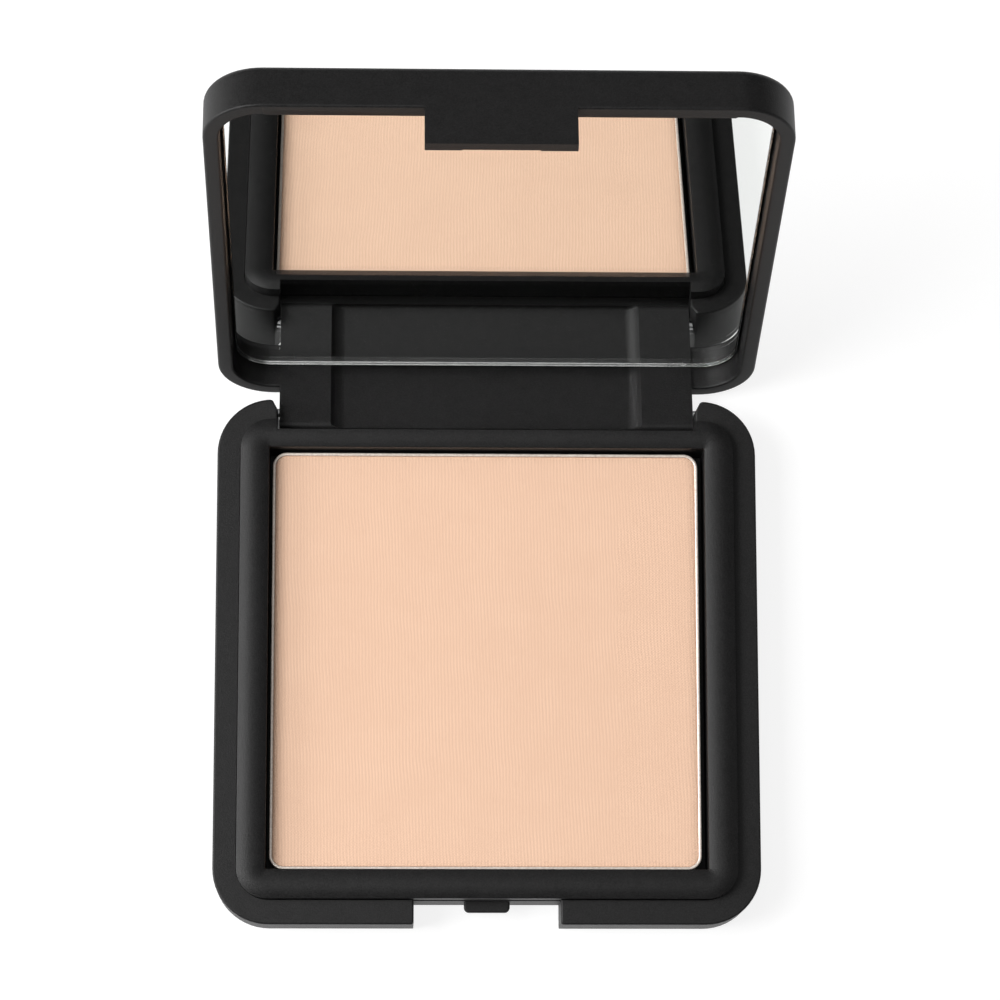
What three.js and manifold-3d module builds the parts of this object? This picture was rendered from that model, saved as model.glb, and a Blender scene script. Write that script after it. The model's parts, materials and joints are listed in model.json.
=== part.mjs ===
// Square powder compact, open. Millimetres, +Z up, +Y towards the hinge.
// The origin is the middle of the base's underside, on the surface that the compact rests on.
import * as THREE from 'three';
import { mergeVertices } from 'three/addons/utils/BufferGeometryUtils.js';
import Module from 'manifold-3d';

// ---- driving dimensions ----
const WIDTH = 80;
const DEPTH = 78;
const CORNER_RADIUS = 8.2;
const GAP = 0.3; // clearance between neighbouring pieces

const BASE_HEIGHT = 8.05; // underside to the flat rim
const BASE_FLOOR = 1.4;
const RIM_WIDTH = 3.35; // flat rim band around the inner frame
const FRAME_CENTRE_Y = 0.2;
const FRAME_CORNER_RADIUS = 4.6;
const FRAME_TOP = 9.9;
const FRAME_CROWN = 0.75; // rounding of the frame's outer top edge
const WELL_HALF_X = 32.1;
const WELL_HALF_Y = 31.4;
const WELL_FLOOR = 2.5;

const LID_HEIGHT = 6.65; // rim plane to the outer face
const LID_WALL = 2.2;
const LID_ROOF = 1.4;
const HINGE_Y = 37.7;
const HINGE_Z = 4.2;
const OPEN_ANGLE = THREE.MathUtils.degToRad(106.5);

const PIN_RADIUS = 0.65;
const PIN_INNER_X = 27;
const PIN_OUTER_X = 33.3;
const EAR_HALF_GAP = 31.2; // half the distance between the ears
const STRAP_HALF_WIDTH = 30.85;
const STRAP_INNER_Y = 36.35;
const STRAP_END_RADIUS = 3.3; // the strap's lower end, about the hinge axis

const NOTCH_HALF_WIDTH = 10.7;
const TAB_HALF_WIDTH = 10.2;
const TAB_THICKNESS = 1.65;
const TAB_END_Z = 2.6;

// ---- values worked out from them ----
const HALF_X = WIDTH / 2;
const HALF_Y = DEPTH / 2;
const CAVITY_HALF_X = HALF_X - RIM_WIDTH;
const CAVITY_HALF_Y = HALF_Y - RIM_WIDTH;
const CAVITY_FRONT_Y = FRAME_CENTRE_Y - CAVITY_HALF_Y;
const FRAME_FLANGE_BOTTOM = 6.8;
const INNER_WALL_TOP = FRAME_FLANGE_BOTTOM - GAP;
const REAR_NOTCH_Y = 34.1;
const LID_RIM_Z = BASE_HEIGHT + GAP;
const LID_TOP_Z = LID_RIM_Z + LID_HEIGHT;
const LID_CEILING_Z = LID_TOP_Z - LID_ROOF;
const BELOW = -1;
const ABOVE = 20;
const OUTSIDE = 60;

const library = await Module();
library.setup();

// ---- geometry helpers ----

function roundedOutline(halfX, halfY, radius, centreX = 0, centreY = 0) {
  const outline = new THREE.Shape();
  const corners = [[1, -1, -0.5], [1, 1, 0], [-1, 1, 0.5], [-1, -1, 1]];
  for (const [signX, signY, start] of corners) {
    const x = centreX + signX * (halfX - radius);
    const y = centreY + signY * (halfY - radius);
    outline.absarc(x, y, radius, start * Math.PI, (start + 0.5) * Math.PI, false);
  }
  outline.closePath();
  return outline;
}

function toSolid(geometry) {
  geometry.deleteAttribute('normal');
  geometry.deleteAttribute('uv');
  const merged = mergeVertices(geometry);
  return new library.Manifold(new library.Mesh({
    numProp: 3,
    vertProperties: new Float32Array(merged.attributes.position.array),
    triVerts: new Uint32Array(merged.index.array),
  }));
}

// An outline raised from bottom to top, with its top and bottom edges rounded by edge.
function slab(outline, bottom, top, edge = 0) {
  const geometry = new THREE.ExtrudeGeometry(outline, {
    depth: top - bottom - 2 * edge,
    bevelEnabled: edge > 0,
    bevelThickness: edge,
    bevelSize: edge,
    bevelOffset: -edge,
    bevelSegments: 3,
    curveSegments: 8,
  });
  geometry.translate(0, 0, bottom + edge);
  return toSolid(geometry);
}

function block(x0, x1, y0, y1, z0, z1) {
  const geometry = new THREE.BoxGeometry(x1 - x0, y1 - y0, z1 - z0);
  geometry.translate((x0 + x1) / 2, (y0 + y1) / 2, (z0 + z1) / 2);
  return toSolid(geometry);
}

// A profile drawn in Y and Z, drawn out along X.
function prismAlongX(profile, x0, x1) {
  const geometry = new THREE.ExtrudeGeometry(profile, {
    depth: x1 - x0, bevelEnabled: false, curveSegments: 12,
  });
  geometry.translate(0, 0, x0);
  const axes = new THREE.Matrix4().makeBasis(
    new THREE.Vector3(0, 1, 0), new THREE.Vector3(0, 0, 1), new THREE.Vector3(1, 0, 0));
  geometry.applyMatrix4(axes);
  return toSolid(geometry);
}

function rodOnHinge(x0, x1, radius) {
  const geometry = new THREE.CylinderGeometry(radius, radius, x1 - x0, 24);
  geometry.rotateZ(Math.PI / 2);
  geometry.translate((x0 + x1) / 2, HINGE_Y, HINGE_Z);
  return toSolid(geometry);
}

function piece(name, solid, colour, roughness, metalness) {
  const { vertProperties, triVerts } = solid.getMesh();
  const geometry = new THREE.BufferGeometry();
  geometry.setAttribute('position', new THREE.BufferAttribute(vertProperties, 3));
  geometry.setIndex(new THREE.BufferAttribute(triVerts, 1));
  geometry.computeVertexNormals();
  const mesh = new THREE.Mesh(
    geometry, new THREE.MeshStandardMaterial({ color: colour, roughness, metalness }));
  mesh.name = name;
  return mesh;
}

function matteBlack(name, solid) {
  return piece(name, solid, 0x232324, 0.55, 0);
}

// ---- base ----

const BOTTOM_EDGE = 1;
const RIM_EDGE = 0.5;
const PIN_BORE_RADIUS = PIN_RADIUS + GAP;
const INNER_WALL = 1;

function caseOutline() {
  return roundedOutline(HALF_X, HALF_Y, CORNER_RADIUS);
}

// The wedge taken off each ear's inner back corner, to clear the lid's rim.
function earChamfer(side) {
  const chamferX = 0.7;
  const chamferY = 1.6;
  const wedge = new THREE.Shape([
    new THREE.Vector2(side * (EAR_HALF_GAP - 0.1), HALF_Y - chamferY),
    new THREE.Vector2(side * EAR_HALF_GAP, HALF_Y - chamferY),
    new THREE.Vector2(side * (EAR_HALF_GAP + chamferX), HALF_Y),
    new THREE.Vector2(side * (EAR_HALF_GAP + chamferX), OUTSIDE),
    new THREE.Vector2(side * (EAR_HALF_GAP - 0.1), OUTSIDE),
  ]);
  return slab(wedge, BELOW, ABOVE);
}

function latchNub() {
  const halfWidth = 3.35;
  const reach = 1.55;
  const cornerRadius = 0.75;
  const root = 0.3;
  const outline = roundedOutline(
    halfWidth, (reach + root) / 2 + cornerRadius, cornerRadius,
    0, CAVITY_FRONT_Y - reach + (reach + root) / 2 + cornerRadius);
  return slab(outline, 4, 5.4).intersect(
    block(-halfWidth, halfWidth, -OUTSIDE, CAVITY_FRONT_Y + INNER_WALL, BELOW, ABOVE));
}

function labelRecess() {
  return slab(roundedOutline(22.3, 10.3, 2.3, 0, -18), BELOW, 0.5);
}

function baseShell() {
  const body = slab(caseOutline(), 0, BASE_HEIGHT + 3, BOTTOM_EDGE)
    .intersect(slab(caseOutline(), -3, BASE_HEIGHT, RIM_EDGE));
  const cavity = slab(
    roundedOutline(CAVITY_HALF_X, CAVITY_HALF_Y, FRAME_CORNER_RADIUS, 0, FRAME_CENTRE_Y),
    BASE_FLOOR, ABOVE);
  const sideWall = 1.5;
  const frontWall = block(
    -NOTCH_HALF_WIDTH - sideWall, NOTCH_HALF_WIDTH + sideWall,
    CAVITY_FRONT_Y - 0.5, CAVITY_FRONT_Y + INNER_WALL, 0, INNER_WALL_TOP);
  const notchY = REAR_NOTCH_Y - 0.1;
  const rearWalls = block(
    -EAR_HALF_GAP - sideWall, EAR_HALF_GAP + sideWall,
    notchY - INNER_WALL, HALF_Y - RIM_EDGE - 1, 0, INNER_WALL_TOP);
  const frontNotch = block(
    -NOTCH_HALF_WIDTH, NOTCH_HALF_WIDTH, -OUTSIDE, CAVITY_FRONT_Y, BELOW, ABOVE);
  const rearNotch = block(-EAR_HALF_GAP, EAR_HALF_GAP, notchY, OUTSIDE, BELOW, ABOVE);
  const bores = rodOnHinge(-PIN_OUTER_X - GAP, PIN_OUTER_X + GAP, PIN_BORE_RADIUS);
  return body.subtract(cavity).add(frontWall).add(rearWalls)
    .subtract(frontNotch).subtract(rearNotch)
    .subtract(earChamfer(-1)).subtract(earChamfer(1))
    .subtract(bores).subtract(labelRecess()).add(latchNub());
}

function panFrame() {
  const outline = roundedOutline(
    CAVITY_HALF_X - GAP, CAVITY_HALF_Y - GAP, FRAME_CORNER_RADIUS - GAP, 0, FRAME_CENTRE_Y);
  const bottom = BASE_FLOOR + GAP;
  const body = slab(outline, bottom - 2, FRAME_TOP, FRAME_CROWN)
    .intersect(slab(outline, bottom, ABOVE));
  const well = slab(
    roundedOutline(WELL_HALF_X, WELL_HALF_Y, 0.6, 0, FRAME_CENTRE_Y), WELL_FLOOR, ABOVE);
  const lip = 0.4;
  const wellLip = slab(
    roundedOutline(WELL_HALF_X + lip, WELL_HALF_Y + lip, 1, 0, FRAME_CENTRE_Y),
    FRAME_TOP - lip, ABOVE);
  const frontRelief = block(
    -NOTCH_HALF_WIDTH - 2, NOTCH_HALF_WIDTH + 2,
    -OUTSIDE, CAVITY_FRONT_Y + INNER_WALL + GAP, BELOW, FRAME_FLANGE_BOTTOM);
  const rearRelief = block(
    -EAR_HALF_GAP - 2, EAR_HALF_GAP + 2,
    REAR_NOTCH_Y - 0.1 - INNER_WALL - GAP, OUTSIDE, BELOW, FRAME_FLANGE_BOTTOM);
  const rearNotch = block(-EAR_HALF_GAP, EAR_HALF_GAP, REAR_NOTCH_Y, OUTSIDE, BELOW, ABOVE);
  return body.subtract(well).subtract(wellLip)
    .subtract(frontRelief).subtract(rearRelief).subtract(rearNotch);
}

// ---- pan and powder ----

const PAN_BOTTOM = 3.2;
const PAN_TOP = 7.2;
const PAN_WALL = 0.4;
const PAN_HALF_X = WELL_HALF_X - 0.5;
const PAN_CENTRE_X = -0.2;
const PAN_HALF_Y = WELL_HALF_Y - 0.4;
const PAN_CENTRE_Y = 0.05;
const PAN_CORNER_RADIUS = 2.1;

function panOutline(inset) {
  return roundedOutline(
    PAN_HALF_X - inset, PAN_HALF_Y - inset, PAN_CORNER_RADIUS - inset,
    PAN_CENTRE_X, PAN_CENTRE_Y);
}

function powderPan() {
  return slab(panOutline(0), PAN_BOTTOM, PAN_TOP)
    .subtract(slab(panOutline(PAN_WALL), PAN_BOTTOM + PAN_WALL, ABOVE));
}

function powderCake() {
  const clearance = 0.15;
  return slab(
    panOutline(PAN_WALL + clearance), PAN_BOTTOM + PAN_WALL + clearance, PAN_TOP - 0.25);
}

function panAdhesive() {
  return slab(roundedOutline(18, 12, 3, 0, FRAME_CENTRE_Y), 2.7, 2.95);
}

function baseLabel() {
  return slab(roundedOutline(22, 10, 2, 0, -18), 0.1, 0.25);
}

function hingePin(side) {
  const ends = [side * PIN_INNER_X, side * PIN_OUTER_X].sort((a, b) => a - b);
  return rodOnHinge(ends[0], ends[1], PIN_RADIUS);
}

// ---- lid, drawn closed and then turned about the hinge ----

const LID_TOP_EDGE = 1.2;
const LID_RIM_EDGE = 0.4;
const MIRROR_Z = LID_RIM_Z + 3.25;
const MIRROR_THICKNESS = 1;

// Straight inner and outer faces, with a round end about the hinge axis.
function strapProfile(top) {
  const inner = STRAP_INNER_Y - HINGE_Y;
  const outer = HALF_Y - HINGE_Y;
  const start = Math.PI + Math.acos(-inner / STRAP_END_RADIUS);
  const end = 2 * Math.PI - Math.acos(outer / STRAP_END_RADIUS);
  const profile = new THREE.Shape();
  profile.moveTo(STRAP_INNER_Y, top);
  profile.absarc(HINGE_Y, HINGE_Z, STRAP_END_RADIUS, start, end, false);
  profile.lineTo(HALF_Y, top);
  profile.closePath();
  return profile;
}

function lidShell() {
  const body = slab(caseOutline(), LID_RIM_Z - 3, LID_TOP_Z, LID_TOP_EDGE)
    .intersect(slab(caseOutline(), LID_RIM_Z, LID_TOP_Z + 3, LID_RIM_EDGE));
  const tray = slab(
    roundedOutline(HALF_X - LID_WALL, HALF_Y - LID_WALL, CORNER_RADIUS - LID_WALL),
    BELOW, LID_CEILING_Z);
  const strap = prismAlongX(
    strapProfile(LID_CEILING_Z + 0.2), -STRAP_HALF_WIDTH, STRAP_HALF_WIDTH);
  const panelHalfWidth = 23.3;
  const panelDepth = 1;
  const strapPanel = block(
    -panelHalfWidth, panelHalfWidth,
    STRAP_INNER_Y - 2, STRAP_INNER_Y + panelDepth, 1.6, LID_CEILING_Z);
  const tabInnerY = -HALF_Y + TAB_THICKNESS;
  const tab = block(
    -TAB_HALF_WIDTH, TAB_HALF_WIDTH, -HALF_Y, tabInnerY, TAB_END_Z, LID_RIM_Z + 1);
  const leadIn = block(-5.2, 5.2, tabInnerY - 0.15, tabInnerY + 1, BELOW, TAB_END_Z + 0.8);
  const bores = rodOnHinge(PIN_INNER_X - GAP, OUTSIDE, PIN_BORE_RADIUS)
    .add(rodOnHinge(-OUTSIDE, -PIN_INNER_X + GAP, PIN_BORE_RADIUS));
  return body.subtract(tray).add(strap).subtract(strapPanel)
    .add(tab).subtract(leadIn).subtract(bores);
}

const MIRROR_HALF_X = HALF_X - LID_WALL - 0.4;
const MIRROR_HALF_Y = 36.2;
const MIRROR_CENTRE_Y = -0.1;

function mirrorGlass() {
  return slab(
    roundedOutline(MIRROR_HALF_X, MIRROR_HALF_Y, 5.2, 0, MIRROR_CENTRE_Y),
    MIRROR_Z, MIRROR_Z + MIRROR_THICKNESS);
}

function mirrorTape() {
  const bottom = MIRROR_Z + MIRROR_THICKNESS + 0.2;
  return slab(
    roundedOutline(MIRROR_HALF_X - 4, MIRROR_HALF_Y - 4, 3, 0, MIRROR_CENTRE_Y),
    bottom, LID_CEILING_Z - 0.2);
}

// ---- assembly ----

const base = new THREE.Group();
base.add(
  matteBlack('base_shell', baseShell()),
  matteBlack('pan_frame', panFrame()),
  piece('powder_pan', powderPan(), 0xd6d3cc, 0.3, 1),
  piece('pan_adhesive', panAdhesive(), 0xe6dfc8, 0.6, 0),
  piece('powder_cake', powderCake(), 0xeec5a6, 0.95, 0),
  piece('base_label', baseLabel(), 0xc9c9c6, 0.6, 0),
  piece('hinge_pin_left', hingePin(-1), 0xbfbfc0, 0.3, 1),
  piece('hinge_pin_right', hingePin(1), 0xbfbfc0, 0.3, 1),
);

const lid = new THREE.Group();
const lidPieces = [
  matteBlack('lid_shell', lidShell()),
  piece('mirror_glass', mirrorGlass(), 0xdfe5e6, 0.03, 1),
  piece('mirror_tape', mirrorTape(), 0x3a3a3a, 0.8, 0),
];
for (const lidPiece of lidPieces) {
  lidPiece.position.set(0, -HINGE_Y, -HINGE_Z);
  lid.add(lidPiece);
}
lid.position.set(0, HINGE_Y, HINGE_Z);
lid.rotation.x = -OPEN_ANGLE;

const compact = new THREE.Group();
compact.add(base, lid);

export default compact;
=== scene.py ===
import bmesh
import bpy
import json
import math
from mathutils import Euler, Matrix, Vector


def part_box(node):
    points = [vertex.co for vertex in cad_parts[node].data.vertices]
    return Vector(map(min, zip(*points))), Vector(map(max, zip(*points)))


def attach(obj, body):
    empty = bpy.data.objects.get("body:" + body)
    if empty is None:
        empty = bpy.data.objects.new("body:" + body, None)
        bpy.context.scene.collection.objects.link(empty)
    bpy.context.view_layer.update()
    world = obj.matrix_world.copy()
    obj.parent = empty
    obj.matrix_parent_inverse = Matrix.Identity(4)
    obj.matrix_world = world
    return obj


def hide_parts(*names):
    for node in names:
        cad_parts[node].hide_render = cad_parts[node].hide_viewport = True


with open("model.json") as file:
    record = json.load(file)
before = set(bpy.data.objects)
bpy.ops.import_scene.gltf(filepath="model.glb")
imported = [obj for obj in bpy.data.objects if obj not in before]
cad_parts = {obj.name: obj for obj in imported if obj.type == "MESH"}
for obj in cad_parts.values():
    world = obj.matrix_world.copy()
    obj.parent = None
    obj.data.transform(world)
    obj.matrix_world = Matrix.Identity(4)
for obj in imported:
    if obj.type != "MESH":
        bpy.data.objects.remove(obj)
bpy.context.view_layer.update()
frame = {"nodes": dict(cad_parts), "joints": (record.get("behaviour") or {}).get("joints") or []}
print("frame loaded:", len(frame["nodes"]), "nodes")


# places taken from the frame

mm = 0.001
hinge = Vector(frame["joints"][0]["pos_m"])
openAngle = -math.radians(frame["joints"][0]["range_deg"][0])  # how far the stored lid is open
aboutHinge = Matrix.Translation(hinge)
openLid = aboutHinge @ Matrix.Rotation(-openAngle, 4, "X") @ aboutHinge.inverted()
closedLid = openLid.inverted()


def closedBox(node):
    # lowest and highest corner of a lid node with the lid shut
    corners = [closedLid @ vertex.co for vertex in frame["nodes"][node].data.vertices]
    low = Vector([min(corner[axis] for corner in corners) for axis in range(3)])
    high = Vector([max(corner[axis] for corner in corners) for axis in range(3)])
    return low, high


baseLow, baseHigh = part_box("base_shell")
frameLow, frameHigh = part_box("pan_frame")
lidTop = closedBox("lid_shell")[1].z
halfX = baseHigh.x
halfY = -baseLow.y
rimZ = baseHigh.z
cornerRadius = 8.2 * mm
seamGap = 0.3 * mm
lidRimZ = rimZ + seamGap


# modelling helpers

tolerance = 0.02 * mm
creaseAngle = math.radians(25)
largeFace = 100 * mm * mm  # of the level faces, only the main top and bottom are larger
beyond = 60 * mm  # further out than any side
below = -1 * mm  # under the lowest face


def clear():
    if bpy.context.mode != "OBJECT":
        bpy.ops.object.mode_set(mode="OBJECT")
    bpy.ops.object.select_all(action="DESELECT")


def use(piece):
    clear()
    bpy.context.view_layer.objects.active = piece
    piece.select_set(True)


def applyPlace():
    bpy.ops.object.transform_apply(location=True, rotation=True, scale=True)


def addBlock(name, low, high):
    clear()
    low, high = Vector(low), Vector(high)
    bpy.ops.mesh.primitive_cube_add(size=1, location=(low + high) / 2, scale=high - low)
    applyPlace()
    piece = bpy.context.object
    piece.name = piece.data.name = name
    return piece


def choose(piece, kind, test):
    # leaves the piece in edit mode, with only the edges or faces that pass the test selected
    use(piece)
    bpy.ops.object.mode_set(mode="EDIT")
    bpy.ops.mesh.select_mode(type=kind)
    bpy.ops.mesh.select_all(action="DESELECT")
    cage = bmesh.from_edit_mesh(piece.data)
    for part in cage.edges if kind == "EDGE" else cage.faces:
        if test(part):
            part.select_set(True)
    bmesh.update_edit_mesh(piece.data)


def roundEdges(piece, test, radius, steps=4, clamp=True):
    choose(piece, "EDGE", test)
    bpy.ops.mesh.bevel(offset=radius, segments=steps, affect="EDGES", clamp_overlap=clamp)
    clear()


def mergeClose(piece):
    # closes the zero-length edges that a cut or a rounding leaves
    use(piece)
    bpy.ops.object.mode_set(mode="EDIT")
    bpy.ops.mesh.select_all(action="SELECT")
    bpy.ops.mesh.remove_doubles(threshold=0.003 * mm)
    clear()


def middle(edge):
    return (edge.verts[0].co + edge.verts[1].co) / 2


def crisp(edge):
    return len(edge.link_faces) == 2 and edge.calc_face_angle() > creaseAngle


def near(value, target):
    return abs(value - target) < tolerance


def upright(edge):
    start, end = edge.verts[0].co, edge.verts[1].co
    return near(start.x, end.x) and near(start.y, end.y)


def levelAt(height):
    return lambda edge: crisp(edge) and all(near(vertex.co.z, height) for vertex in edge.verts)


def roundedBlock(name, low, high, radius, steps=12):
    piece = addBlock(name, low, high)
    roundEdges(piece, upright, radius, steps)
    return piece


def chooseFlat(piece, side):
    # side 1 picks the large top face, side -1 the large bottom face
    choose(piece, "FACE", lambda face: (face.normal.z * side > 0.99
                                        and face.calc_area() > largeFace))


def pull(height):
    bpy.ops.mesh.extrude_region_move(TRANSFORM_OT_translate={"value": (0, 0, height)})


def combine(piece, tool, operation):
    change = piece.modifiers.new("combine", "BOOLEAN")
    change.object = tool
    change.operation = operation
    change.solver = "EXACT"
    use(piece)
    bpy.ops.object.modifier_apply(modifier=change.name)
    bpy.data.objects.remove(tool)


def cut(piece, tool):
    combine(piece, tool, "DIFFERENCE")


def weld(piece, tool):
    combine(piece, tool, "UNION")


def turnOpen(piece):
    piece.matrix_world = openLid
    use(piece)
    applyPlace()


def finishPiece(piece, body, node, material, smoothAngle=30):
    use(piece)
    bpy.ops.object.shade_smooth_by_angle(angle=math.radians(smoothAngle))
    even = piece.modifiers.new("even", "WEIGHTED_NORMAL")
    even.keep_sharp = True
    bpy.ops.object.modifier_apply(modifier=even.name)
    piece.data.materials.clear()
    piece.data.materials.append(material)
    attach(piece, body)
    if node:
        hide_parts(node)
    print("made", piece.name, len(piece.data.polygons), "faces")
    return piece


# shader helpers

class Wire:
    # a node's output that can be used in sums
    def __init__(self, socket):
        self.socket = socket

    def sum(self, operation, first, second):
        tree = self.socket.id_data
        node = tree.nodes.new("ShaderNodeMath")
        node.operation = operation
        for slot, value in zip(node.inputs, (first, second)):
            plug(tree, slot, value)
        return Wire(node.outputs[0])

    def __add__(self, other):
        return self.sum("ADD", self, other)

    def __sub__(self, other):
        return self.sum("SUBTRACT", self, other)

    def __mul__(self, other):
        return self.sum("MULTIPLY", self, other)

    __radd__ = __add__


def plug(tree, slot, value):
    if isinstance(value, Wire):
        tree.links.new(value.socket, slot)
    else:
        slot.default_value = value


class Finish:
    # a material under construction
    def __init__(self, name):
        self.material = bpy.data.materials.new(name)
        self.material.use_nodes = True
        self.tree = self.material.node_tree
        self.surface = self.tree.nodes["Principled BSDF"]

    def node(self, kind, settings, values, output=0):
        made = self.tree.nodes.new(kind)
        for name, value in settings.items():
            setattr(made, name, value)
        for name, value in values.items():
            plug(self.tree, made.inputs[name], value)
        return Wire(made.outputs[output])

    def set(self, **values):
        for name, value in values.items():
            plug(self.tree, self.surface.inputs[name.replace("_", " ")], value)

    def place(self):
        return self.node("ShaderNodeTexCoord", {}, {}, output="Object")

    def axis(self, place, name):
        return self.node("ShaderNodeSeparateXYZ", {}, {0: place}, output=name)

    def wave(self, angle):
        return self.node("ShaderNodeMath", {"operation": "SINE"}, {0: angle})

    def noise(self, place, size, detail=2, roughness=0.5):
        return self.node("ShaderNodeTexNoise", {}, {
            "Vector": place, "Scale": 1 / size, "Detail": detail, "Roughness": roughness})

    def blend(self, amount, low, high):
        return self.node("ShaderNodeMix", {"data_type": "RGBA"}, {
            "Factor": amount, 6: low, 7: high}, output=2)

    def spread(self, value, low, high, lowOut=0, highOut=1):
        return self.node("ShaderNodeMapRange", {}, {
            "Value": value, "From Min": low, "From Max": high,
            "To Min": lowOut, "To Max": highOut})

    def bump(self, height, strength, depth):
        return self.node("ShaderNodeBump", {}, {
            "Height": height, "Strength": strength, "Distance": depth})


def makeCasePlastic(name):
    look = {
        "dark": (0.0020, 0.0019, 0.0020, 1),
        "light": (0.0132, 0.0128, 0.0130, 1),
        "grain": 0.20 * mm,
        "mottle": 1.6 * mm,
        "grainShare": 0.8,
        "roughLow": 0.44,
        "roughHigh": 0.54,
        "shine": 0.29,
        "bumpStrength": 0.8,
        "bumpDepth": 0.045 * mm,
    }
    paint = Finish(name)
    place = paint.place()
    grain = paint.noise(place, look["grain"], 3, 0.6)
    mottle = paint.noise(place, look["mottle"], 4, 0.6)
    mixed = grain * look["grainShare"] + mottle * (1 - look["grainShare"])
    tone = paint.spread(mixed, 0.34, 0.66)
    paint.set(
        Base_Color=paint.blend(tone, look["dark"], look["light"]),
        Roughness=paint.spread(mixed, 0.35, 0.65, look["roughLow"], look["roughHigh"]),
        Specular_IOR_Level=look["shine"],
        Normal=paint.bump(grain, look["bumpStrength"], look["bumpDepth"]))
    return paint.material


def makePanMetal(name):
    look = {
        "dark": (0.72, 0.62, 0.54, 1),
        "light": (0.94, 0.86, 0.78, 1),
        "metallic": 0.45,
        "scratch": 0.35 * mm,
        "roughLow": 0.34,
        "roughHigh": 0.5,
        "bumpStrength": 0.15,
        "bumpDepth": 0.02 * mm,
    }
    paint = Finish(name)
    place = paint.place()
    marks = paint.noise(place, look["scratch"], 5, 0.7)
    paint.set(
        Metallic=look["metallic"],
        Base_Color=paint.blend(paint.spread(marks, 0.35, 0.65), look["dark"], look["light"]),
        Roughness=paint.spread(marks, 0.3, 0.7, look["roughLow"], look["roughHigh"]),
        Normal=paint.bump(marks, look["bumpStrength"], look["bumpDepth"]))
    return paint.material


def makePowder(name):
    look = {
        "deep": (0.70, 0.425, 0.285, 1),
        "pale": (0.99, 0.695, 0.515, 1),
        "rib": 0.48 * mm,
        "weft": 0.40 * mm,
        "grain": 0.11 * mm,
        "patch": 5 * mm,
        "drift": 9 * mm,
        "wander": 0.8 * mm,
        "lean": 0.03,
        "ribShare": 0.42,
        "crossShare": 0.5,
        "weaveTone": 0.46,
        "grainTone": 3.0,
        "patchTone": 0.18,
        "patchLeast": 0.45,  # how much of the weave is left where it is faintest
        "roughLow": 0.88,
        "roughHigh": 0.98,
        "shine": 0.15,
        "sheen": 0.2,
        "sheenRough": 0.6,
        "weaveBump": 0.35,
        "bumpStrength": 0.35,
        "bumpDepth": 0.03 * mm,
    }
    paint = Finish(name)
    place = paint.place()
    x = paint.axis(place, "X")
    y = paint.axis(place, "Y")
    drift = paint.noise(place, look["drift"], 2, 0.5)
    wander = (drift - 0.5) * look["wander"]
    across = (x + wander + y * look["lean"]) * (2 * math.pi / look["rib"])
    along = (y + wander) * (2 * math.pi / look["weft"])
    ribs = paint.wave(across)
    wefts = paint.wave(along)
    grain = paint.noise(place, look["grain"], 3, 0.65)
    patches = paint.noise(place, look["patch"], 3, 0.55)
    weave = ribs * look["ribShare"] + ribs * wefts * look["crossShare"]
    patchy = paint.spread(patches, 0.3, 0.7, look["patchLeast"], 1)
    tone = (0.5 + weave * patchy * look["weaveTone"] + (grain - 0.5) * look["grainTone"]
            + (patches - 0.5) * look["patchTone"])
    paint.set(
        Base_Color=paint.blend(tone, look["deep"], look["pale"]),
        Roughness=paint.spread(grain, 0.3, 0.7, look["roughLow"], look["roughHigh"]),
        Specular_IOR_Level=look["shine"],
        Sheen_Weight=look["sheen"],
        Sheen_Roughness=look["sheenRough"],
        Normal=paint.bump(
            weave * look["weaveBump"] + grain, look["bumpStrength"], look["bumpDepth"]))
    return paint.material


def makeSilver(name):
    look = {
        "dark": (0.965, 0.97, 0.965, 1),
        "light": (0.985, 0.985, 0.98, 1),
        "haze": 6 * mm,
        "roughHigh": 0.012,
    }
    paint = Finish(name)
    place = paint.place()
    haze = paint.noise(place, look["haze"], 4, 0.6)
    paint.set(
        Metallic=1.0,
        Base_Color=paint.blend(haze, look["dark"], look["light"]),
        Roughness=paint.spread(haze, 0.3, 0.7, 0.0, look["roughHigh"]))
    return paint.material


glassBend = 1.5  # refractive index of the mirror's glass


def makeGlass(name):
    look = {
        "colour": (0.97, 0.985, 0.975, 1),
        "smear": 4 * mm,
        "roughHigh": 0.006,
    }
    paint = Finish(name)
    place = paint.place()
    smear = paint.noise(place, look["smear"], 3, 0.6)
    paint.set(
        Base_Color=look["colour"],
        Roughness=paint.spread(smear, 0.2, 0.8, 0.0, look["roughHigh"]),
        IOR=glassBend,
        Transmission_Weight=1.0)
    return paint.material


def makeCutEdge(name):
    look = {
        "colour": (0.80, 0.84, 0.82, 1),
        "chip": 0.55 * mm,
        "ground": 0.12 * mm,
        "groundShare": 0.1,
        "chipStart": 26 * mm,
        "chipFull": 33 * mm,
        "chipLeast": 0.06,
        "roughLow": 0.04,
        "roughHigh": 0.16,
        "bumpDepth": 0.35 * mm,
    }
    paint = Finish(name)
    place = paint.place()
    chips = paint.noise(place, look["chip"], 3, 0.6)
    ground = paint.noise(place, look["ground"], 2, 0.5)
    # the right edge is chipped most
    broken = paint.spread(
        paint.axis(place, "X"), look["chipStart"], look["chipFull"], look["chipLeast"], 1)
    paint.set(
        Base_Color=look["colour"],
        Roughness=paint.spread(ground, 0.3, 0.7, look["roughLow"], look["roughHigh"]),
        IOR=glassBend,
        Transmission_Weight=1.0,
        Normal=paint.bump(
            chips * broken + ground * look["groundShare"], 1.0, look["bumpDepth"]))
    return paint.material


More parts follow.
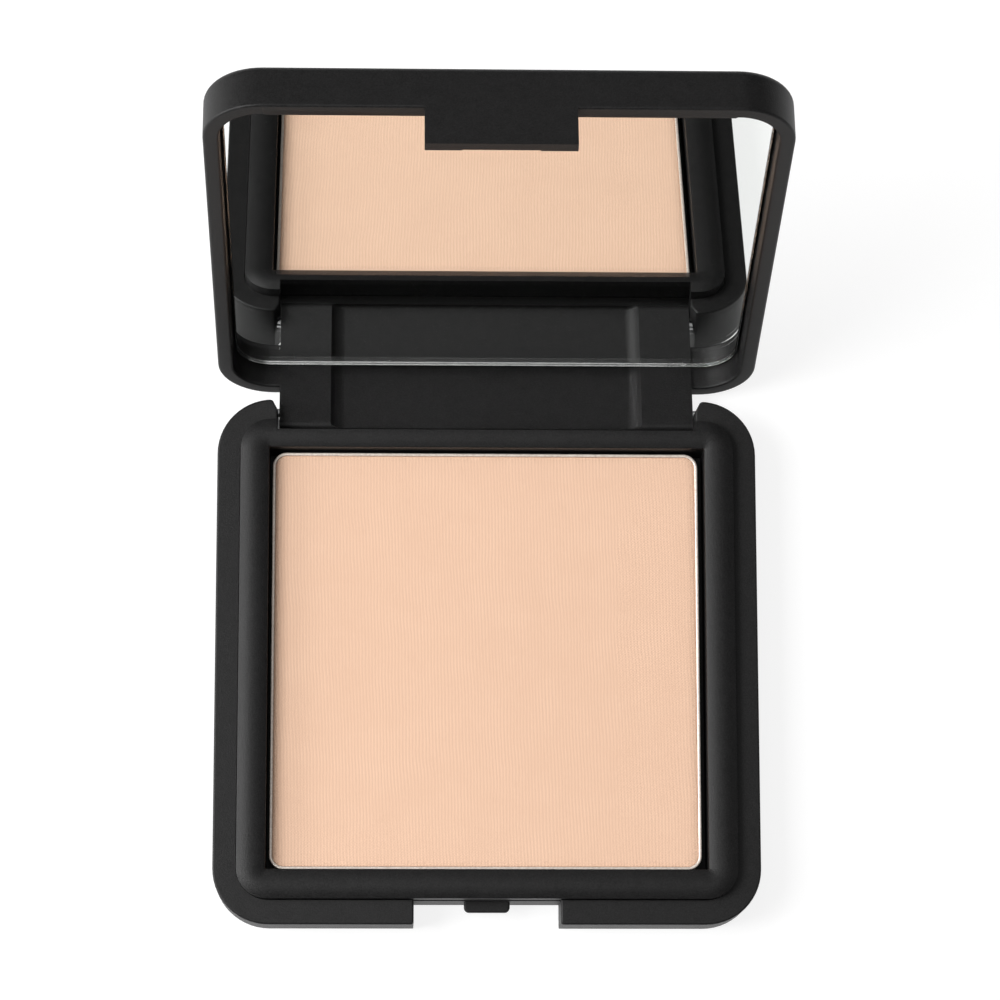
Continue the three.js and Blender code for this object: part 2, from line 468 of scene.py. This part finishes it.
def makePlain(name, dark, light, size, rough, metallic=0.0):
    roughSwing = 0.06
    paint = Finish(name)
    place = paint.place()
    fleck = paint.noise(place, size, 4, 0.6)
    paint.set(
        Metallic=metallic,
        Base_Color=paint.blend(paint.spread(fleck, 0.35, 0.65), dark, light),
        Roughness=paint.spread(fleck, 0.3, 0.7, rough - roughSwing, rough + roughSwing),
        Normal=paint.bump(fleck, 0.2, 0.03 * mm))
    return paint.material


casePlastic = makeCasePlastic("softTouchBlack")
panMetal = makePanMetal("pressedTin")
powderBody = makePowder("pressedPowder")
silver = makeSilver("silvering")
clearGlass = makeGlass("clearGlass")
cutEdge = makeCutEdge("cutEdge")
pinSteel = makePlain(
    "drawnSteel", (0.42, 0.42, 0.43, 1), (0.62, 0.62, 0.63, 1), 0.3 * mm, 0.3, 1.0)
glueSkin = makePlain(
    "driedGlue", (0.62, 0.55, 0.40, 1), (0.82, 0.76, 0.60, 1), 1.2 * mm, 0.5)
tapeFoam = makePlain(
    "foamTape", (0.03, 0.03, 0.03, 1), (0.07, 0.07, 0.07, 1), 0.3 * mm, 0.85)
labelFilm = makePlain(
    "labelFilm", (0.50, 0.50, 0.49, 1), (0.60, 0.60, 0.59, 1), 0.5 * mm, 0.45)
print("materials made")


# base

baseCase = {
    "rimWidth": 3.35 * mm,
    "cavityShift": 0.2 * mm,  # the cavity sits this far towards the hinge
    "grooveEdge": 0.13 * mm,
    "floor": 1.4 * mm,
    "rimEdge": 0.3 * mm,
    "bottomEdge": 1.0 * mm,
    "notchHalf": 10.7 * mm,
    "notchEdge": 0.42 * mm,
    "notchTop": 12 * mm,
    "earHalf": 31.1 * mm,
    "rearNotchY": 34.0 * mm,
    "earSlopeX": 0.85 * mm,
    "earSlopeY": 1.6 * mm,
    "innerWall": 1.0 * mm,
    "innerWallLow": 0.5 * mm,
    "innerWallTop": 6.5 * mm,
    "frontWallBite": 0.5 * mm,
    "rearWallInset": 1.5 * mm,
    "sideWall": 1.5 * mm,
    "nubHalf": 3.35 * mm,
    "nubReach": 1.55 * mm,
    "nubRoot": 0.4 * mm,
    "nubLow": 4.0 * mm,
    "nubHigh": 5.4 * mm,
    "nubCorner": 0.75 * mm,
    "nubEdge": 0.25 * mm,
    "labelHalf": 22.3 * mm,
    "labelFrontY": -28.3 * mm,
    "labelRearY": -7.7 * mm,
    "labelCorner": 2.3 * mm,
    "labelDepth": 0.5 * mm,
}


def makeBaseCase():
    look = baseCase
    cavityFrontY = look["cavityShift"] - (halfY - look["rimWidth"])
    case = roundedBlock(
        "baseCase", (-halfX, -halfY, 0), (halfX, halfY, rimZ), cornerRadius, 14)
    roundEdges(case, levelAt(0), look["bottomEdge"], 5)
    chooseFlat(case, 1)
    bpy.ops.mesh.inset(thickness=look["rimWidth"])
    bpy.ops.transform.translate(value=(0, look["cavityShift"], 0))
    pull(look["floor"] - rimZ)
    clear()
    span = look["notchHalf"] + look["sideWall"]
    weld(case, addBlock(
        "frontWall", (-span, cavityFrontY - look["frontWallBite"], look["innerWallLow"]),
        (span, cavityFrontY + look["innerWall"], look["innerWallTop"])))
    span = look["earHalf"] + look["sideWall"]
    weld(case, addBlock(
        "rearWall", (-span, look["rearNotchY"] - look["innerWall"], look["innerWallLow"]),
        (span, halfY - look["rearWallInset"], look["innerWallTop"])))
    cut(case, addBlock(
        "frontNotch", (-look["notchHalf"], -beyond, below),
        (look["notchHalf"], cavityFrontY, look["notchTop"])))
    cut(case, addBlock(
        "rearNotch", (-look["earHalf"], look["rearNotchY"], below),
        (look["earHalf"], beyond, look["notchTop"])))
    slopeEars(case, look)
    # the notches' upright corners on the outer walls
    roundEdges(case, lambda edge: crisp(edge) and upright(edge) and (
        middle(edge).y < -halfY + 0.2 * mm or middle(edge).y > halfY - 0.5 * mm),
        look["notchEdge"], 4, False)
    mergeClose(case)
    roundRim(case, look, cavityFrontY)
    weld(case, makeNub(look, cavityFrontY))
    recess = roundedBlock(
        "labelRecess", (-look["labelHalf"], look["labelFrontY"], below),
        (look["labelHalf"], look["labelRearY"], look["labelDepth"]), look["labelCorner"], 8)
    cut(case, recess)
    return finishPiece(case, "base", "base_shell", casePlastic)


def slopeEars(case, look):
    # the ears narrow towards the back
    half = 1 * mm
    for side in (-1, 1):
        wedge = addBlock("earSlope", (-half, -half, below), (half, half, look["notchTop"]))
        angle = math.atan2(look["earSlopeX"], look["earSlopeY"])
        wedge.matrix_world = (
            Matrix.Translation((side * look["earHalf"], halfY - look["earSlopeY"], 0))
            @ Matrix.Rotation(-side * angle, 4, "Z")
            @ Matrix.Translation((-side * half, half, 0)))
        cut(case, wedge)


def roundRim(case, look, cavityFrontY):
    # the outer edge and the notches first, then the finer edge around the cavity
    isRim = levelAt(rimZ)

    def inCavity(vertex):
        return (abs(vertex.co.x) < halfX - look["rimWidth"] + 0.1 * mm
                and cavityFrontY - 0.05 * mm < vertex.co.y < halfY - 3 * mm)

    roundEdges(case, lambda edge: isRim(edge) and not all(
        inCavity(vertex) for vertex in edge.verts), look["rimEdge"], 5)
    roundEdges(case, isRim, look["grooveEdge"], 3)


def makeNub(look, cavityFrontY):
    nubY = cavityFrontY - look["nubReach"]
    nub = addBlock(
        "latchNub", (-look["nubHalf"], nubY, look["nubLow"]),
        (look["nubHalf"], cavityFrontY + look["nubRoot"], look["nubHigh"]))
    roundEdges(nub, lambda edge: upright(edge) and near(middle(edge).y, nubY),
               look["nubCorner"], 6)
    roundEdges(nub, lambda edge: crisp(edge) and middle(edge).y < cavityFrontY
               and not upright(edge), look["nubEdge"], 4)
    return nub


panSurround = {
    "gap": 0.13 * mm,
    "crownPeak": 2.1 * mm,  # how far in from the groove the crown is highest
    "crownWidth": 4.2 * mm,
    "outerDrop": 0.52 * mm,
    "innerDrop": 0.44 * mm,
    "steps": 14,
    "wellEdge": 0.1 * mm,
    "wellFloor": 2.5 * mm,
    "radius": 4.45 * mm,
    "rearNotchY": 34.1 * mm,
    "notchTop": 20 * mm,
    "notchEdge": 0.22 * mm,
    "rearReliefSide": 2 * mm,
    "rearReliefDepth": 1.4 * mm,
    "frontReliefHalf": 13 * mm,
    "frontReliefDepth": 1.1 * mm,
}


def crownHeight(inward):
    look = panSurround
    if inward < look["crownPeak"]:
        share = (look["crownPeak"] - inward) / look["crownPeak"]
        return frameHigh.z - look["outerDrop"] * share ** 2
    share = (inward - look["crownPeak"]) / (look["crownWidth"] - look["crownPeak"])
    return frameHigh.z - look["innerDrop"] * share ** 2


def makePanSurround():
    look = panSurround
    outerX = halfX - baseCase["rimWidth"] - look["gap"]
    outerY = halfY - baseCase["rimWidth"] - look["gap"]
    shift = baseCase["cavityShift"]
    surround = roundedBlock(
        "panSurround", (-outerX, shift - outerY, frameLow.z),
        (outerX, shift + outerY, crownHeight(0)), look["radius"], 14)
    chooseFlat(surround, 1)
    stepWidth = look["crownWidth"] / look["steps"]
    for step in range(look["steps"]):
        rise = crownHeight((step + 1) * stepWidth) - crownHeight(step * stepWidth)
        bpy.ops.mesh.inset(thickness=stepWidth, depth=rise)
    bpy.ops.mesh.inset(thickness=look["wellEdge"] * 0.4, depth=-look["wellEdge"] * 0.5)
    pull(look["wellFloor"] - crownHeight(look["crownWidth"]) + look["wellEdge"] * 0.5)
    clear()
    flangeBottom = baseCase["innerWallTop"] + seamGap
    ear = baseCase["earHalf"]
    reliefHalf = ear + look["rearReliefSide"]
    cut(surround, addBlock(
        "rearNotch", (-ear, look["rearNotchY"], below), (ear, beyond, look["notchTop"])))
    cut(surround, addBlock(
        "rearRelief", (-reliefHalf, look["rearNotchY"] - look["rearReliefDepth"], below),
        (reliefHalf, beyond, flangeBottom)))
    cut(surround, addBlock(
        "frontRelief", (-look["frontReliefHalf"], -beyond, below),
        (look["frontReliefHalf"], shift - outerY + look["frontReliefDepth"], flangeBottom)))
    roundEdges(surround, lambda edge: crisp(edge) and near(middle(edge).y, look["rearNotchY"])
               and middle(edge).z > flangeBottom + 0.5 * mm and not upright(edge),
               look["notchEdge"], 4)
    return finishPiece(surround, "base", "pan_frame", casePlastic, 40)


# pan and powder

panLook = {
    "wall": 0.46 * mm,
    "radius": 2.1 * mm,
    "rimEdge": 0.16 * mm,
    "bottomEdge": 0.9 * mm,
    "floor": 0.4 * mm,
}


def makePan():
    low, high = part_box("powder_pan")
    pan = roundedBlock("powderPan", low, high, panLook["radius"], 12)
    chooseFlat(pan, 1)
    bpy.ops.mesh.inset(thickness=panLook["wall"])
    pull(low.z + panLook["floor"] - high.z)
    clear()
    roundEdges(pan, levelAt(high.z), panLook["rimEdge"], 4)
    roundEdges(pan, levelAt(low.z), panLook["bottomEdge"], 5)
    return finishPiece(pan, "base", "powder_pan", panMetal)


powderLook = {
    "sideGap": 0.01 * mm,
    "floorGap": 0.02 * mm,
    "crown": (  # width and rise of each step in from the edge
        (0.08 * mm, 0.06 * mm),
        (0.12 * mm, 0.05 * mm),
        (0.2 * mm, 0.04 * mm),
        (0.4 * mm, 0.03 * mm),
        (0.5 * mm, 0.03 * mm),
    ),
}


def makePowderCake():
    low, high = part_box("powder_pan")
    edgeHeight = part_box("powder_cake")[1].z
    inset = panLook["wall"] + powderLook["sideGap"]
    floorZ = low.z + panLook["floor"] + powderLook["floorGap"]
    cake = roundedBlock(
        "powderCake", (low.x + inset, low.y + inset, floorZ),
        (high.x - inset, high.y - inset, edgeHeight), panLook["radius"] - inset, 12)
    chooseFlat(cake, 1)
    for width, rise in powderLook["crown"]:
        bpy.ops.mesh.inset(thickness=width, depth=rise)
    clear()
    return finishPiece(cake, "base", "powder_cake", powderBody, 60)


# lid, modelled shut and then turned open about the hinge

lidLook = {
    "wall": 2.2 * mm,
    "roof": 1.4 * mm,
    "rimEdge": 0.35 * mm,
    "topEdge": 1.2 * mm,
    "strapHalf": 30.95 * mm,
    "strapInnerY": 36.35 * mm,
    "strapLow": 0.95 * mm,
    "strapEnd": 1.2 * mm,
    "strapRoot": 0.2 * mm,
    "panelHalf": 23.7 * mm,
    "panelDepth": 1.2 * mm,
    "panelReach": 6 * mm,
    "panelFillet": 2.6 * mm,
    "panelLow": 1.2 * mm,
    "panelLowEdge": 0.6 * mm,
    "panelEdge": 0.2 * mm,
    "tabHalf": 10.2 * mm,
    "tabThick": 1.65 * mm,
    "tabLow": 2.6 * mm,
    "tabRoot": 1 * mm,
    "tabEdge": 0.22 * mm,
    "leadHalf": 5.2 * mm,
    "leadDepth": 0.15 * mm,
    "leadHeight": 0.8 * mm,
}


def makeLid():
    look = lidLook
    ceiling = lidTop - look["roof"]
    lid = roundedBlock(
        "lidShell", (-halfX, -halfY, lidRimZ), (halfX, halfY, lidTop), cornerRadius, 14)
    chooseFlat(lid, -1)
    bpy.ops.mesh.inset(thickness=look["wall"])
    pull(ceiling - lidRimZ)
    clear()
    addStrap(lid, look, ceiling)
    addTab(lid, look)
    roundEdges(lid, lambda edge: levelAt(lidRimZ)(edge)
               and not abs(middle(edge).x) < look["tabHalf"] + 0.4 * mm
               and not (abs(middle(edge).x) < look["strapHalf"] + 0.05 * mm
                        and middle(edge).y > look["strapInnerY"] - 0.1 * mm),
               look["rimEdge"], 4)
    roundEdges(lid, levelAt(lidTop), look["topEdge"], 7)
    turnOpen(lid)
    return finishPiece(lid, "lid", "lid_shell", casePlastic)


def addStrap(lid, look, ceiling):
    # the strap reaches down to the hinge, with a sunken panel on its inner face
    strap = addBlock(
        "hingeStrap", (-look["strapHalf"], look["strapInnerY"], look["strapLow"]),
        (look["strapHalf"], halfY, ceiling + look["strapRoot"]))
    roundEdges(strap, lambda edge: near(middle(edge).z, look["strapLow"])
               and near(middle(edge).x, 0), look["strapEnd"], 8)
    weld(lid, strap)
    panelBack = look["strapInnerY"] + look["panelDepth"]
    panel = addBlock(
        "strapPanel", (-look["panelHalf"], panelBack - look["panelReach"], look["panelLow"]),
        (look["panelHalf"], panelBack, ceiling))
    roundEdges(panel, lambda edge: upright(edge) and near(middle(edge).y, panelBack),
               look["panelFillet"], 8)
    roundEdges(panel, lambda edge: near(middle(edge).z, look["panelLow"]) and crisp(edge)
               and middle(edge).y > look["strapInnerY"] - 4 * mm, look["panelLowEdge"], 5)
    cut(lid, panel)
    roundEdges(lid, lambda edge: crisp(edge) and near(middle(edge).y, look["strapInnerY"])
               and abs(middle(edge).x) < look["panelHalf"] + 0.1 * mm
               and middle(edge).z < lidRimZ + 3 * mm, look["panelEdge"], 3)


def addTab(lid, look):
    tabInnerY = -halfY + look["tabThick"]
    past = 1 * mm
    weld(lid, addBlock(
        "closingTab", (-look["tabHalf"], -halfY, look["tabLow"]),
        (look["tabHalf"], tabInnerY, lidRimZ + look["tabRoot"])))
    cut(lid, addBlock(
        "leadIn", (-look["leadHalf"], tabInnerY - look["leadDepth"], look["tabLow"] - past),
        (look["leadHalf"], tabInnerY + past, look["tabLow"] + look["leadHeight"])))
    roundEdges(lid, lambda edge: crisp(edge) and middle(edge).z < lidRimZ - 0.1 * mm
               and middle(edge).y < 0 and abs(middle(edge).x) > look["leadHalf"] + 0.3 * mm
               and not near(middle(edge).y, tabInnerY), look["tabEdge"], 3)


mirrorLook = {
    "radius": 5.2 * mm,
    "bevel": 0.14 * mm,
    "silverInset": 0.1 * mm,
    "silverDepth": 0.06 * mm,  # from the glass's back face to the silver's front
    "silverCover": 0.02 * mm,  # from the glass's back face to the silver's back
}


def makeMirror():
    look = mirrorLook
    low, high = closedBox("mirror_glass")
    glass = roundedBlock("mirrorGlass", low, high, look["radius"], 12)
    roundEdges(glass, levelAt(low.z), look["bevel"], 1)
    turnOpen(glass)
    finishPiece(glass, "lid", "mirror_glass", clearGlass)
    glass.data.materials.append(cutEdge)
    outward = (openLid.to_3x3() @ Vector((0, 0, 1))).normalized()
    for face in glass.data.polygons:
        if abs(face.normal.dot(outward)) < 0.9:
            face.material_index = 1
    inset = Vector((look["silverInset"], look["silverInset"], 0))
    frontZ = high.z - low.z - look["silverDepth"]
    backing = roundedBlock(
        "mirrorSilver", low + inset + Vector((0, 0, frontZ)),
        high - inset - Vector((0, 0, look["silverCover"])),
        look["radius"] - look["silverInset"], 12)
    turnOpen(backing)
    return finishPiece(backing, "lid", None, silver)


pinLook = {
    "sides": 32,
    "edge": 0.15 * mm,
}


def makePin(name, node):
    low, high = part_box(node)
    clear()
    bpy.ops.mesh.primitive_cylinder_add(
        vertices=pinLook["sides"], radius=(high.z - low.z) / 2, depth=high.x - low.x,
        location=(low + high) / 2, rotation=(0, math.pi / 2, 0))
    applyPlace()
    pin = bpy.context.object
    pin.name = pin.data.name = name
    roundEdges(pin, lambda edge: crisp(edge) and (
        near(middle(edge).x, low.x) or near(middle(edge).x, high.x)), pinLook["edge"], 3)
    return finishPiece(pin, "base", node, pinSteel)


makeBaseCase()
makePanSurround()
makePan()
makePowderCake()
makeLid()
makeMirror()
makePin("hingePinLeft", "hinge_pin_left")
makePin("hingePinRight", "hinge_pin_right")

for node, material in (
        ("pan_adhesive", glueSkin), ("mirror_tape", tapeFoam), ("base_label", labelFilm)):
    frame["nodes"][node].data.materials.clear()
    frame["nodes"][node].data.materials.append(material)
print("pieces made")


# floor, light and camera

studio = {
    "floorSize": 6.0,
    "floorColour": (0.25, 0.25, 0.25, 1),
    "floorRough": 0.9,
    "floorGlow": 0.84,
    "worldColour": (1.0, 0.99, 0.98, 1),
    "worldStrength": 0.02,
    "lights": {  # name: place, size, power
        "keyLight": ((-0.62, 0.00, 0.72), 0.5, 8.6),
        "sideLight": ((-0.95, 0.00, 0.26), 0.45, 6.0),
        "topLight": ((-0.10, -0.10, 1.20), 0.9, 2.6),
        "backLight": ((0.05, 0.80, 0.90), 0.7, 1.0),
        "rightLight": ((0.75, 0.00, 0.60), 0.5, 0.5),
    },
    "lightAim": (0, 0.01, 0.01),
    "cameraPlace": (-0.016175, -0.086549, 0.567137),
    "cameraTurn": (11.1661, -1.8364, -0.093),
    "lens": 138.36,
    "sensor": 36,
    "clipStart": 0.01,
    "clipEnd": 50,
}


def makeFloor():
    clear()
    bpy.ops.mesh.primitive_plane_add(size=studio["floorSize"], location=(0, 0, 0))
    floor = bpy.context.object
    floor.name = "studioFloor"
    paint = Finish("paleFloor")
    paint.set(
        Base_Color=studio["floorColour"],
        Roughness=studio["floorRough"],
        Specular_IOR_Level=0.0,
        Emission_Color=(1, 1, 1, 1),
        Emission_Strength=studio["floorGlow"])
    floor.data.materials.append(paint.material)


def makeLight(name, place, size, power):
    clear()
    bpy.ops.object.light_add(type="AREA", location=place)
    lamp = bpy.context.object
    lamp.name = name
    lamp.data.shape = "SQUARE"
    lamp.data.size = size
    lamp.data.energy = power
    aim = Vector(studio["lightAim"]) - Vector(place)
    lamp.rotation_euler = aim.to_track_quat("-Z", "Y").to_euler()


def makeCamera():
    clear()
    bpy.ops.object.camera_add(location=studio["cameraPlace"])
    camera = bpy.context.object
    camera.rotation_euler = Euler([math.radians(angle) for angle in studio["cameraTurn"]], "XYZ")
    camera.data.lens = studio["lens"]
    camera.data.sensor_width = studio["sensor"]
    camera.data.clip_start = studio["clipStart"]
    camera.data.clip_end = studio["clipEnd"]
    bpy.context.scene.camera = camera


def makeWorld():
    world = bpy.context.scene.world or bpy.data.worlds.new("studioWorld")
    bpy.context.scene.world = world
    world.use_nodes = True
    backdrop = world.node_tree.nodes["Background"]
    backdrop.inputs["Color"].default_value = studio["worldColour"]
    backdrop.inputs["Strength"].default_value = studio["worldStrength"]
    bpy.context.scene.view_settings.view_transform = "Standard"


makeFloor()
makeWorld()
for name, (place, size, power) in studio["lights"].items():
    makeLight(name, place, size, power)
makeCamera()
print("studio made")
